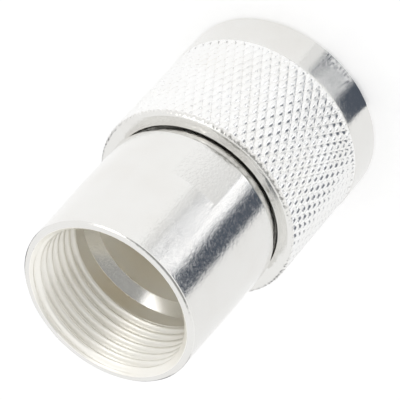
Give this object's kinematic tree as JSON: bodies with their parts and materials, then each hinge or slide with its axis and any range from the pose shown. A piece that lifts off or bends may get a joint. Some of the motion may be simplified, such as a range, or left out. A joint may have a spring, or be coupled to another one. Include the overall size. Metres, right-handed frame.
{
  "type": "n type connector plug",
  "caption": "Straight coaxial cable plug with a knurled coupling nut, centre pin, slotted sleeve and a threaded clamp entry.",
  "frame": {"origin": "centre of the coupling nut's mating face, which the plug stands on", "axes": "+Z along the connector's axis towards the cable entry; the two wrench flats face +Y and -Y"},
  "size_m": [0.0206, 0.0206, 0.032],
  "materials": {
    "silver_body": "bright silver plate on turned brass",
    "silver_nut": "silver plate over a diamond knurl",
    "silver_contact": "silver plate, satin",
    "gold_contact": "gold plate, bright",
    "spring_bronze": "plain spring bronze",
    "silicone_rubber": "moulded silicone, matt",
    "ptfe": "turned PTFE, waxy white"
  },
  "bodies": {
    "plug": {"body": "silver_body", "retaining_ring": "spring_bronze", "mating_gasket": "silicone_rubber", "outer_contact": "silver_contact", "centre_contact": "gold_contact", "front_insulator": "ptfe", "rear_insulator": "ptfe"},
    "nut": {"coupling_nut": "silver_nut"}
  },
  "joints": [
    {"name": "nut_spin", "type": "hinge", "parent": "plug", "child": "nut", "pos_m": [0, 0, 0.0135], "axis": [0, 0, 1], "continuous": true}
  ]
}
